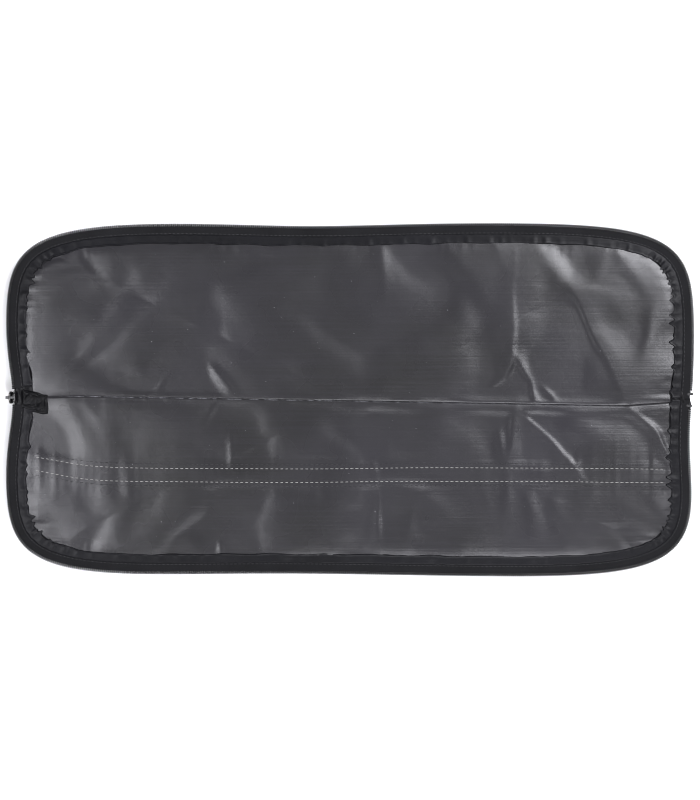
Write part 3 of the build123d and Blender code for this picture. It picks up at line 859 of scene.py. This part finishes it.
def shell_relief(x, y):
    rim = edge_distance(x, y)
    along = np.where(np.abs(x) / MOUTH_LENGTH > np.abs(y) / MOUTH_DEPTH, y, x)
    gather = 0.10 * PUCKER(along + 77) * bell(rim - 10, 9.0)
    return (0.16 * MEDIUM(x + 90, y) + 0.05 * FINE(x + 55, y) + gather) * ramp(rim, 2.0, 14.0)


def build_shells():
    for side, lip, body in LIPS:
        x, y = lip_grid(side, SHELL_INSET, 240, 64)
        y = y - crease_y(x) * np.clip(1 - np.abs(y - crease_y(x)) / 30.0, 0, 1)
        y = np.where(np.abs(y) < 3.0, side * 3.0, y)
        relief = shell_relief(x, y)
        if side == REAR:
            # nothing is sewn under the rear shell, so it sags a little between its seams
            relief = np.clip(1.6 * relief - 0.12 * ramp(edge_distance(x, y), 6.0, 30.0), -0.24, 0.02)
        z = SHELL_BOTTOM + 0.26 + relief * (1.0 if side == REAR else 0.3)
        piece = closed_piece(f"{lip}_shell_cloth", slab(x, y, z, SHELL_SHEET), body, OUTER)
        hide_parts(f"{lip}_shell")


# ---- zip -------------------------------------------------------------------------------------
TAPE_GAPS = {REAR: (8.8, 0.4), FRONT: (3.4, 0.4)}
TAPE_OUT, TAPE_IN = 2.6, 16.0
SEAM_ROW = 8.2
BINDING_OUT, BINDING_IN = 9.2, 16.4
CURL = wave_1d(31, 22.0)
RIPPLE = wave_1d(32, 7.0)
INNER_WAVE = wave_1d(33, 34.0)


def corner_share(x, y):
    """1 at the four rounded corners and 0 along the straight edges."""
    return ramp(np.abs(x), 190, 245) * ramp(np.abs(y), 60, 115)


def tape_height(x, y, s, inset):
    """Top of the zip tape: flat at the seam, curling up where it is free at its inner edge."""
    free = ramp(inset, SEAM_ROW + 1.0, TAPE_IN)
    corner = corner_share(x, y)
    ends = ramp(np.abs(x), 235, 262)
    lift = free * (0.03 * CURL(s) ** 2 * ends + 0.04 * corner * np.abs(RIPPLE(s)))
    lift = lift + 0.05 * RIPPLE(s * 0.9) * (1 - free)
    lift = lift - 0.16 * bell(inset - SEAM_ROW, 0.8)
    outer = -0.10 * ramp(4.5 - inset, 0, 3.0)
    return TAPE_TOP + np.clip(lift, -0.2, 0.95) + outer


def tape_inner_edge(s, x, y):
    corner = corner_share(x, y)
    return TAPE_IN + 0.35 * INNER_WAVE(s) + 0.2 * corner * RIPPLE(s * 0.8)


def build_tapes():
    for side, lip, body in LIPS:
        rim = RIMS[side]
        low, high = rim.span(*TAPE_GAPS[side])
        s = np.linspace(low, high, 620)
        px, py = rim.at(s, 10.0)
        inner = tape_inner_edge(s, px, py)
        share = np.array([0, 0.04, 0.14, 0.28, 0.40, 0.455, 0.49, 0.53, 0.60, 0.72, 0.84, 0.93, 0.975, 1.0])
        inset = TAPE_OUT + (inner[:, None] - TAPE_OUT) * share[None, :]
        x, y = rim.at(s[:, None], inset)
        z = tape_height(px[:, None], py[:, None], s[:, None], inset)
        z = z + 0.12 * bell(share[None, :] - 0.975, 0.03)
        piece = closed_piece(f"{lip}_tape_woven", slab(x, y, z, TAPE_SHEET), body, TAPE)
        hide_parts(f"{lip}_zip_tape")


TOOTH_PITCH = 1.6
TOOTH_WIRE = 0.43


def build_coils():
    """Each tooth of the coil is one loop of monofilament with a swollen tip."""
    for side, lip, body in LIPS:
        rim = RIMS[side]
        gap_left = 8.6 if side == REAR else 3.4
        low, high = rim.span(gap_left, 6.0)
        count = int((high - low) / TOOTH_PITCH)
        middle = (COIL_BOTTOM + COIL_TOP) / 2
        half = (COIL_TOP - COIL_BOTTOM) / 2 - TOOTH_WIRE
        turn = np.linspace(0, 2 * pi, 14, endpoint=False)
        reach = 1.95 + 1.6 * np.cos(turn)
        lift = half * np.sin(turn)
        lean = 0.40 * np.sin(turn)
        swell = TOOTH_WIRE * (1 + 0.15 * np.exp(-(((turn + pi) % (2 * pi) - pi) / 0.55) ** 2))
        shapes = []
        for k in range(count):
            s = low + (k + 0.5) * TOOTH_PITCH
            x, y = rim.at(s + lean, 4.0 - reach)
            path = np.stack([x, y, middle + lift], axis=1)
            shapes.append(tube(path, swell, sides=6, closed=True))
        s = np.linspace(low, high, 700)
        for level in (middle - 0.32, middle + 0.32):
            x, y = rim.at(s, 2.6)
            shapes.append(tube(np.stack([x, y, np.full(s.shape, level)], axis=1), 0.30, sides=6))
        piece = closed_piece(f"{lip}_coil_loops", join_shapes(shapes), body, COIL)
        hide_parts(f"{lip}_zip_coil")


def stitch(start, end, top, rise=0.16, half=0.24):
    """One lock stitch lying on cloth: a short thread whose ends dive into their holes."""
    share = np.linspace(0, 1, 7)
    x = start[0] + (end[0] - start[0]) * share
    y = start[1] + (end[1] - start[1]) * share
    z = top[0] + (top[1] - top[0]) * share + rise * np.sin(share * pi) ** 0.5 - 0.14
    radius = half * (0.55 + 0.45 * np.sin(share * pi) ** 0.5)
    return tube(np.stack([x, y, z], axis=1), radius, sides=6, squash=0.8)


def row_of_stitches(xs, ys, zs, along, pitch, fill=0.72, half=0.24):
    """Stitches at an even pitch along a line given by points and its running length."""
    shapes = []
    count = int((along[-1] - along[0]) / pitch)
    for k in range(count):
        a = along[0] + (k + 0.5 - fill / 2) * pitch
        b = a + fill * pitch
        start = (np.interp(a, along, xs), np.interp(a, along, ys))
        end = (np.interp(b, along, xs), np.interp(b, along, ys))
        top = (np.interp(a, along, zs), np.interp(b, along, zs))
        shapes.append(stitch(start, end, top, half=half))
    return shapes


def build_tape_stitches():
    for side, lip, body in LIPS:
        rim = RIMS[side]
        low, high = rim.span(TAPE_GAPS[side][0] + 1, TAPE_GAPS[side][1] + 1)
        s = np.linspace(low, high, 2400)
        x, y = rim.at(s, SEAM_ROW)
        z = tape_height(x, y, s, np.full(s.shape, SEAM_ROW)) + 0.10
        shapes = row_of_stitches(x, y, z, s, 3.4, half=0.22)
        piece = closed_piece(f"{lip}_tape_stitches", join_shapes(shapes), body, THREAD_BLACK)
        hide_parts(f"{lip}_tape_thread")


def build_bindings():
    """A glossy strip that wraps the seam allowance: it lies on the tape's inner half."""
    for side, lip, body in LIPS:
        rim = RIMS[side]
        low, high = rim.span(TAPE_GAPS[side][0] + 1.0, 0.6)
        s = np.linspace(low, high, 760)
        px, py = rim.at(s, 14.0)
        at_ends = ramp(np.abs(px), 225, 256)
        corner = corner_share(px, py)
        outer = BINDING_OUT + 0.12 * RIPPLE(s * 1.1)
        inner = BINDING_IN + 0.9 * at_ends * CURL(s * 1.3 + 50) ** 2
        inner = inner + 0.3 * INNER_WAVE(s + 90) + 0.12 * corner * RIPPLE(s)
        share = np.array([0, 0.03, 0.10, 0.2, 0.3, 0.42, 0.54, 0.66, 0.76, 0.84, 0.90, 0.95, 0.98, 1.0])
        inset = outer[:, None] + (inner - outer)[:, None] * share[None, :]
        x, y = rim.at(s[:, None], inset)
        free = ramp(share[None, :], 0.05, 0.7)
        pucker = (0.10 + 0.08 * corner + 0.14 * at_ends)[:, None] * RIPPLE(s * 0.75 + 11)[:, None]
        roll = 0.30 * bell(share[None, :] - 0.93, 0.07)
        roll = roll + 0.26 * at_ends[:, None] * np.sin(share[None, :] * pi)
        lift = np.clip(pucker * free, -0.10, 0.55) + roll + 0.10 * CURL(s * 0.6 + 7)[:, None] * free
        edge = -0.22 * (1 - ramp(share[None, :], 0.0, 0.04)) - 0.45 * ramp(share[None, :], 0.95, 1.0)
        z = TAPE_TOP + 0.26 + np.clip(lift, -0.08, 0.8) + edge
        piece = closed_piece(f"{lip}_binding_strip", slab(x, y, z, BINDING_SHEET), body, SATIN)
        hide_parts(f"{lip}_binding")


def build_band_stitches():
    """The four rows that sew the webbing band to the lining: black outside, white inside."""
    for name, rows, material, node in (
        ("band_stitches_white", (-5.4, 5.4), THREAD_WHITE, "band_thread_white"),
        ("band_stitches_black", (-8.8, 8.8), THREAD_BLACK, "band_thread_black"),
    ):
        shapes = []
        for row in rows:
            x = np.linspace(-252.0, 253.0, 2600)
            y = band_line(x) + row + 0.12 * np.sin(x / 23.0 + row)
            z = LINING_TOP + lining_relief(x, y) + 0.10
            along = np.concatenate([[0], np.cumsum(np.hypot(np.diff(x), np.diff(y)))])
            shapes += row_of_stitches(x, y, z, along, 4.0, 0.66, 0.30 if material is THREAD_WHITE else 0.26)
        piece = closed_piece(name, join_shapes(shapes), "bag", material)
        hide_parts(node)


build_linings()
build_shells()
build_tapes()
build_bindings()
build_coils()
build_tape_stitches()
build_band_stitches()


# ---- slider's end of the zip -----------------------------------------------------------------
def bevelled_copy(node_name, width, body, material):
    """A CAD piece with its edges rounded off."""
    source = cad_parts[node_name]
    mesh = source.data.copy()
    piece = bpy.data.objects.new(f"{node_name}_cast", mesh)
    bpy.context.scene.collection.objects.link(piece)
    mesh.materials.clear()
    mesh.materials.append(material)
    weld = piece.modifiers.new("weld", "WELD")
    weld.merge_threshold = 0.005 * MM
    bevel = piece.modifiers.new("bevel", "BEVEL")
    bevel.width = width * MM
    bevel.segments = 3
    bevel.limit_method = "ANGLE"
    bevel.angle_limit = radians(30)
    bevel.harden_normals = False
    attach(piece, body)
    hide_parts(node_name)
    return piece


def build_metal():
    bevelled_copy("slider_body", 0.26, "zip_slider", ENAMEL)
    bevelled_copy("slider_crown", 0.30, "zip_slider", ENAMEL)
    bevelled_copy("bottom_stop", 0.15, "bag", STOP_METAL)
    bevelled_copy("front_end_stop", 0.25, "bag", STOP_METAL)
    bevelled_copy("rear_end_stop", 0.25, "rear_lip", STOP_METAL)


# each layer of the tab: left and right ends, middle y at the left end, slope, width, height above the lining
TAB_LAYERS = (
    (-263.0, -241.6, 0.6, -0.20, 15.6, 0.55),
    (-262.2, -244.0, 1.2, -0.26, 13.4, 1.05),
    (-261.4, -250.0, 2.2, -0.34, 10.0, 1.55),
)


def tab_layer(index, left, right, middle, slope, width, level):
    columns, rows = 60, 48
    u, v = np.meshgrid(np.linspace(0, 1, columns), np.linspace(0, 1, rows))
    u = u + 0.02 * np.sin(v * 6.0 + index)
    x = left + (right - left) * u + 0.8 * (v - 0.5)
    y = middle + slope * (x - left) + (v - 0.5) * (width + 1.4 * np.sin(u * 3.0 + index))
    y = y + 0.3 * np.sin(u * 14 + index)
    edge = np.minimum(np.minimum(u, 1 - u) * (right - left), np.minimum(v, 1 - v) * width)
    rounded = np.sqrt(np.clip(1 - (1 - np.clip(edge / 1.2, 0, 1)) ** 2, 0, 1))
    crinkle = 0.16 * FINE(x * 2.0 + 60 * index, y * 2.0)
    crinkle = crinkle + 0.22 * np.sin(2.7 * slope * x + 0.8 * y + index)
    z = LINING_TOP + level + 0.45 * rounded + crinkle * ramp(edge, 0.2, 3.0)
    return np.stack([x, y, z], axis=2)


def build_end_tab():
    """Black cloth folded over itself in slanting layers at the slider's end."""
    layers = [thick_grid(tab_layer(k, *layer), TAB_SHEET) for k, layer in enumerate(TAB_LAYERS)]
    piece = closed_piece("end_tab_folded", join_shapes(layers), None, TAB)
    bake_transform(piece)
    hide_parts("end_tab")


# Near-black sheets at the fold's two ends: partly cloth, partly painted shade standing in for the open hole
# into the bag.
GUSSETS_AND_GAP_SHADE = (
    # name, outer and inner x, front and rear y
    ("tape_end_gusset_gap_shade", -267.4, -250.5, -5.0, 12.0),
    ("chain_end_gusset_gap_shade", 272.4, 254.0, -7.0, 7.0),
)


def build_gussets_and_gap_shade():
    """Loose black cloth across the fold at both ends of the zip, where its tapes stop short; its near-black
    sheet also paints the shade of the hole into the bag there.
    """
    columns, rows = 44, 70
    u, v = np.meshgrid(np.linspace(0, 1, columns), np.linspace(0, 1, rows))
    for name, outer_x, inner_x, front_y, rear_y in GUSSETS_AND_GAP_SHADE:
        y = front_y + (rear_y - front_y) * v
        outer = outer_x + 0.5 * np.sin(v * 7.0)
        inner = inner_x - 1.0 * np.sin(v * 5.0 + 1.0)
        x = outer + (inner - outer) * u
        z = LINING_TOP + 0.35 + 0.35 * np.sin(u * pi) + 0.22 * np.sin(x * 0.9 + y * 0.35) * np.sin(u * pi)
        z = np.clip(z + 0.05 * FINE(x * 1.6, y * 1.6), LINING_TOP + 0.1, LINING_TOP + 0.95)
        # the near-black tab cloth colour here is painted shade where the fold opens into the bag
        piece = closed_piece(name, slab(x, y, z, GUSSET_SHEET), None, TAB)
        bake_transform(piece)


# ---- folded body -----------------------------------------------------------------------------
BODY_HALF = (260.0, 133.0)
BODY_FOLDS = Waves(41, 60.0)
BODY_FINE = Waves(42, 20.0)
SIDE_PUCKER = wave_1d(43, 12.0)
SIDE_BULGE = wave_1d(44, 55.0)


def body_relief(x, y):
    """The top of the folded body sinks between its seams: at most 1.6 below its flat height."""
    u, v = np.abs(x) / BODY_HALF[0], np.abs(y) / BODY_HALF[1]
    inside = ramp(1 - (u**CORNER_POWER + v**CORNER_POWER) ** (1 / CORNER_POWER), 0.0, 0.12)
    folds = 0.42 * BODY_FOLDS(x, y) + 0.16 * BODY_FINE(x, y)
    long_fold = 0.8 * bell(y - 62 - 12 * np.sin(x / 70.0), 5.0) * bell(x - 40, 140.0)
    cross_fold = 0.7 * bell(x + 0.35 * y + 96, 4.0) + 0.6 * bell(x - 0.25 * y - 118, 5.0)
    return np.clip((-0.75 + folds + long_fold + cross_fold) * inside, -1.6, 0.15)


def build_body():
    columns, rows = 230, 60
    for side, lip in ((REAR, "rear"), (FRONT, "front")):
        s, t, g = oblong_grid(columns, rows)
        x, y = g * s * BODY_HALF[0], g * t * BODY_HALF[1] * side
        y = np.where(np.abs(y) < 3.0, side * 3.0, y)
        for layer, drop, thickness, material, slot_name in (
            ("outer", 0.05, 0.26, OUTER, "outer_cloth"),
            ("inner", 0.38, 0.22, SATIN, "proofed_lining"),
        ):
            z = BODY_TOP - drop + body_relief(x, y)
            name = f"body_{layer}_top_{lip}_cloth"
            piece = closed_piece(name, slab(x, y, z, thickness), "bag", material)
            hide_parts(f"body_{layer}_top")
    build_body_side()


def build_body_side():
    """The rolled side of the folded body."""
    count = 900
    angle = np.linspace(pi, -pi, count, endpoint=False)
    px, py = oblong(angle, *BODY_HALF)
    run = np.stack([np.roll(px, -1) - np.roll(px, 1), np.roll(py, -1) - np.roll(py, 1)], axis=1)
    steps = np.hypot(np.diff(px, append=px[0]), np.diff(py, append=py[0]))
    along = np.cumsum(steps)
    run /= np.linalg.norm(run, axis=1, keepdims=True)
    out_x, out_y = -run[:, 1], run[:, 0]
    flip = np.where(out_x * px + out_y * py < 0, -1.0, 1.0)
    out_x, out_y = out_x * flip, out_y * flip
    turn = np.linspace(-pi / 2, pi / 2, 17)
    low, high = BODY_BOTTOM + 0.05, BODY_TOP
    middle, half = (low + high) / 2, (high - low) / 2
    rolled = [(2.2 * cos(a) - 1.8, middle + half * sin(a)) for a in turn]
    profile = [(-7.0, low), *rolled, (-7.0, high - 0.2)]
    back = []
    for offset, z in profile:
        inner = offset - 0.45 if offset > -6 else offset
        back.append((inner, z + 0.4 if z < middle else z - 0.4))
    loop = profile + back[::-1]
    swell = 0.5 * SIDE_BULGE(along) + 0.25 * SIDE_PUCKER(along)
    rings = []
    for offset, z in loop:
        share = np.sin(np.clip((z - low) / (high - low), 0, 1) * pi)
        reach_out = offset + swell * share * (1 if offset > -6 else 0)
        sag = 0.35 * SIDE_PUCKER(along * 0.8 + 9) * share
        rings.append(np.stack([px + out_x * reach_out, py + out_y * reach_out, z + sag], axis=1))
    piece = closed_piece("body_side_fold", ring_stack(rings), "bag", OUTER)
    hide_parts("body_side_seam")


# ---- sleeves ---------------------------------------------------------------------------------
ARM_X = 135.0
ARM_ROOT_Y, ARM_END_Y = 119.0, -108.0
ARM_ROOT_HALF, ARM_END_HALF = 65.0, 48.0
ARM_MID_Z = 3.15
ARM_HALF_HEIGHT = 2.5
CUFF_END_Y = -130.0
CUFF_HALF_HEIGHT = 3.1


def flat_section(phi, half_width, half_height):
    """A point of a flattened tube's section."""
    c, s = np.cos(phi), np.sin(phi)
    return half_width * np.sign(c) * np.abs(c) ** 0.30, half_height * np.sign(s) * np.abs(s) ** 0.55


def build_sleeves():
    for arm, arm_x, seed in (("left", -ARM_X, 51), ("right", ARM_X, 61)):
        body = f"{arm}_arm"
        folds, fine = Waves(seed, 44.0), Waves(seed + 1, 15.0, stretch=2.0)
        gathers, gather_size = wave_1d(seed + 2, 8.0), wave_1d(seed + 3, 30.0)
        around, lengths = 200, 150
        phi = np.linspace(0, 2 * pi, around, endpoint=False)
        # more points along the flat faces: spread them by width
        phi = phi - 0.5 * np.sin(2 * phi) * 0.55
        y = np.linspace(ARM_ROOT_Y, ARM_END_Y - 3.0, lengths)
        rings = []
        for here in y:
            share = (ARM_ROOT_Y - here) / (ARM_ROOT_Y - ARM_END_Y)
            half_width = ARM_ROOT_HALF + (ARM_END_HALF - ARM_ROOT_HALF) * min(share, 1.0) - 0.4
            close = float(np.sqrt(np.clip((ARM_ROOT_Y - here) / 3.0, 0.02, 1.0)))
            x, z = flat_section(phi, half_width, ARM_HALF_HEIGHT * close)
            face = np.sign(z) * ramp(np.abs(z), 0.3, 2.0)
            near_cuff = float(np.exp(-(here - ARM_END_Y) / 42.0))
            dip = 0.55 + 0.5 * folds(x + 200 * face, here) + 0.22 * fine(x + 90 * face, here)
            pleats = (0.9 * gathers(x + 33 * face) + 0.4 * gather_size(x)) * near_cuff
            cross = 0.8 * bell(here - 40 - 0.3 * x - 12 * face, 6.0) + 0.7 * bell(here + 52 + 0.2 * x, 5.0)
            sink = np.clip(dip + pleats - cross + 0.2, 0.0, 1.7) * close
            wave = 1.0 * np.sin(here / 17.0 + seed) * np.cos(phi) ** 2 * np.sign(np.cos(phi)) - 0.6
            x = x + wave * np.abs(np.cos(phi)) ** 4
            rings.append(np.stack([arm_x + x, np.full(around, here), ARM_MID_Z + z - face * sink], axis=1))
        verts = np.concatenate(rings)
        faces = grid_faces(lengths, around, wrap=True)
        faces.append(tuple(range(around)))
        faces.append(tuple((lengths - 1) * around + k for k in range(around)))
        piece = closed_piece(f"{arm}_sleeve_cloth", (verts, faces), body, OUTER)
        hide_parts(f"{arm}_sleeve")
        build_cuff(arm, arm_x, body, seed)


def build_cuff(arm, arm_x, body, seed):
    """The gathered hem over the elastic: a thick corrugated ring, open at its end."""
    around = 520
    phi = np.linspace(0, 2 * pi, around, endpoint=False)
    phi = phi - 0.5 * np.sin(2 * phi) * 0.55
    uneven = wave_1d(seed + 5, 2.2)
    profile = []
    for k in range(15):
        a = k / 14
        profile.append((ARM_END_Y + 1.0 + (CUFF_END_Y - ARM_END_Y) * a, 0.0))
    profile += [(CUFF_END_Y + 0.2, 0.35), (CUFF_END_Y + 0.9, 0.75), (CUFF_END_Y + 2.5, 0.95)]
    for k in range(8):
        profile.append((CUFF_END_Y + 4.0 + 16.0 * k / 7, 0.95))
    rings = []
    for here, depth in profile:
        along = (ARM_END_Y - here) / (ARM_END_Y - CUFF_END_Y)
        puff = 0.35 * np.sin(np.clip(along, 0, 1) * pi) if depth == 0 else 0.0
        stitched = 0.30 * (bell(along - 0.14, 0.03) + bell(along - 0.86, 0.03)) if depth == 0 else 0.0
        half_height = CUFF_HALF_HEIGHT - 0.5 + puff - depth * 0.95 - stitched
        x, z = flat_section(phi, ARM_END_HALF - 0.4 - depth, half_height)
        s = x + 100 * np.sign(z)
        ruffle = np.sin(s * 2 * pi / 3.1 + 1.2 * uneven(s / 4.0)) * (0.34 - 0.10 * puff)
        ruffle = ruffle * (1.0 - 0.6 * (depth > 0.5))
        face = np.sign(z) * ramp(np.abs(z), 0.3, 1.6)
        side = np.abs(np.cos(phi)) ** 6 * np.sign(np.cos(phi))
        height = np.clip(z + face * ruffle, -CUFF_HALF_HEIGHT, CUFF_HALF_HEIGHT)
        x = arm_x + x + side * 0.2 * ruffle
        rings.append(np.stack([x, np.full(around, here), ARM_MID_Z + height], axis=1))
    piece = closed_piece(f"{arm}_cuff_gathered", ring_stack(rings), body, OUTER)
    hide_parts(f"{arm}_cuff")


build_metal()
build_end_tab()
build_gussets_and_gap_shade()
build_body()
build_sleeves()

NODE_LOOKS = {
    "webbing_band": WEBBING,
    "left_cuff_elastic": ELASTIC,
    "right_cuff_elastic": ELASTIC,
    "slider_body": ENAMEL,
    "slider_crown": ENAMEL,
    "pull_ring": NICKEL,
    "bottom_stop": STOP_METAL,
    "front_end_stop": STOP_METAL,
    "rear_end_stop": STOP_METAL,
    "chain_end": COIL,
    "chain_end_tape": TAPE,
    "end_tab": TAB,
}
for node_name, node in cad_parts.items():
    node.data.materials.clear()
    node.data.materials.append(NODE_LOOKS.get(node_name, OUTER))
